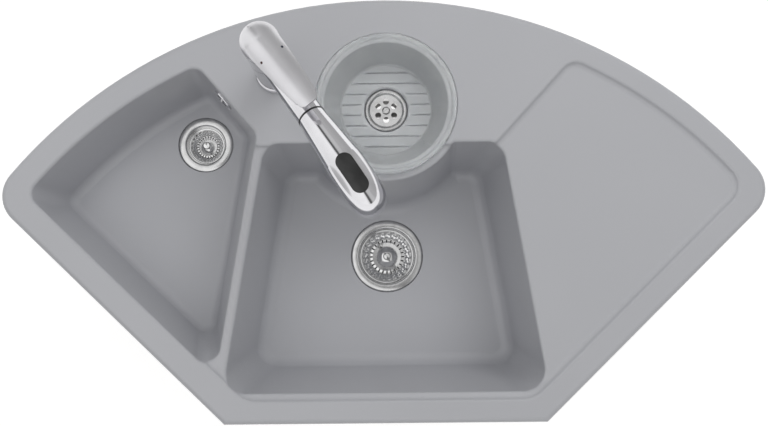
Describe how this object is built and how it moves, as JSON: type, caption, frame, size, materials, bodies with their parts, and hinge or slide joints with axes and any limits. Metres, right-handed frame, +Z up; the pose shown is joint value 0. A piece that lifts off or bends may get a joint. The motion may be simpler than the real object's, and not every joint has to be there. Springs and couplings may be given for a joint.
{
  "type": "corner kitchen sink",
  "caption": "Grey ceramic corner sink with a large bowl, side bowl, strainer bowl, drainer, basket wastes and a single-lever tap with a pull-out spray.",
  "frame": {"origin": "on the worktop plane under the rim, at the middle of the front edge's seating band", "axes": "+X to the right along the front edge, +Y back into the corner, +Z up; the sink is modelled as it hangs in its worktop"},
  "size_m": [1.08, 0.6, 0.5124],
  "materials": {
    "grey_ceramic": "smooth satin glaze",
    "polished_chrome": "polished chrome plate",
    "stainless": "polished and fine-brushed stainless sheet",
    "clear_plastic": "translucent, pale green-white",
    "black_plastic": "fine matt",
    "grey_plastic": "moulded waste fittings",
    "white_plastic": "moulded bearing and cartridge plastic",
    "rubber": "matt seal rubber",
    "brass": "turned",
    "hose_braid": "woven nylon hose"
  },
  "bodies": {
    "sink": {"sink_body": "grey_ceramic", "main_waste_seal": "rubber", "main_waste_flange": "stainless", "main_waste_under_seal": "rubber", "main_waste_body": "grey_plastic", "main_waste_screw": "stainless", "left_waste_seal": "rubber", "left_waste_flange": "stainless", "left_waste_under_seal": "rubber", "left_waste_body": "grey_plastic", "left_waste_screw": "stainless", "grid_waste_seal": "rubber", "grid_waste_flange": "stainless", "grid_waste_under_seal": "rubber", "grid_waste_body": "grey_plastic", "grid_waste_screw": "stainless", "overflow_plate": "polished_chrome", "overflow_seal": "rubber", "overflow_elbow": "grey_plastic", "overflow_screw": "polished_chrome", "tap_gasket": "rubber", "tap_base_ring": "polished_chrome", "tap_body": "polished_chrome", "tap_shank": "brass", "tap_inlet_block": "brass", "tap_fibre_washer": "rubber", "tap_clamp_plate": "stainless", "tap_nut": "brass", "lower_bearing": "white_plastic", "upper_bearing": "white_plastic", "tap_top_ring": "polished_chrome", "cartridge": "white_plastic", "cartridge_nut": "brass", "cartridge_cap": "polished_chrome"},
    "spout": {"spout": "polished_chrome", "dock_ring": "black_plastic"},
    "spray": {"spray_shell": "polished_chrome", "spray_face": "black_plastic", "aerator": "white_plastic", "hose_nut": "brass", "spray_hose": "hose_braid"},
    "spray_button": {"spray_button": "black_plastic"},
    "lever_turret": {"turret": "white_plastic", "lever_pin": "stainless"},
    "lever": {"lever": "polished_chrome", "lever_stem": "brass", "lever_screw": "stainless", "hot_dot": "black_plastic", "cold_dot": "black_plastic"},
    "main_basket": {"main_basket": "stainless", "main_basket_knob": "stainless", "main_basket_seal": "rubber"},
    "left_basket": {"left_basket": "stainless", "left_basket_knob": "stainless", "left_basket_seal": "rubber"},
    "strainer_bowl": {"strainer_bowl": "clear_plastic"}
  },
  "joints": [
    {"name": "spout_swivel", "type": "hinge", "parent": "sink", "child": "spout", "pos_m": [-0.152, 0.477, 0.152], "axis": [0, 0, 1], "range_deg": [-110, 70]},
    {"name": "spray_pullout", "type": "slide", "parent": "spout", "child": "spray", "axis": [0.5185, -0.7687, 0.3746], "range_m": [0, 0.095]},
    {"name": "spray_button_press", "type": "slide", "parent": "spray", "child": "spray_button", "axis": [0, 0, -1], "range_m": [0, 0.0015], "stiffness_N_per_m": 1500, "springref_m": -0.001},
    {"name": "lever_turn", "type": "hinge", "parent": "sink", "child": "lever_turret", "pos_m": [-0.152, 0.477, 0.195], "axis": [0, 0, 1], "range_deg": [-45, 45]},
    {"name": "lever_lift", "type": "hinge", "parent": "lever_turret", "child": "lever", "pos_m": [-0.152, 0.477, 0.204], "axis": [-0.788, -0.6157, 0], "range_deg": [0, 20]},
    {"name": "main_basket_lift", "type": "slide", "parent": "sink", "child": "main_basket", "axis": [0, 0, 1], "range_m": [0, 0.1]},
    {"name": "left_basket_lift", "type": "slide", "parent": "sink", "child": "left_basket", "axis": [0, 0, 1], "range_m": [0, 0.08]},
    {"name": "strainer_bowl_lift", "type": "slide", "parent": "sink", "child": "strainer_bowl", "axis": [0, 0, 1], "range_m": [0, 0.09]}
  ]
}
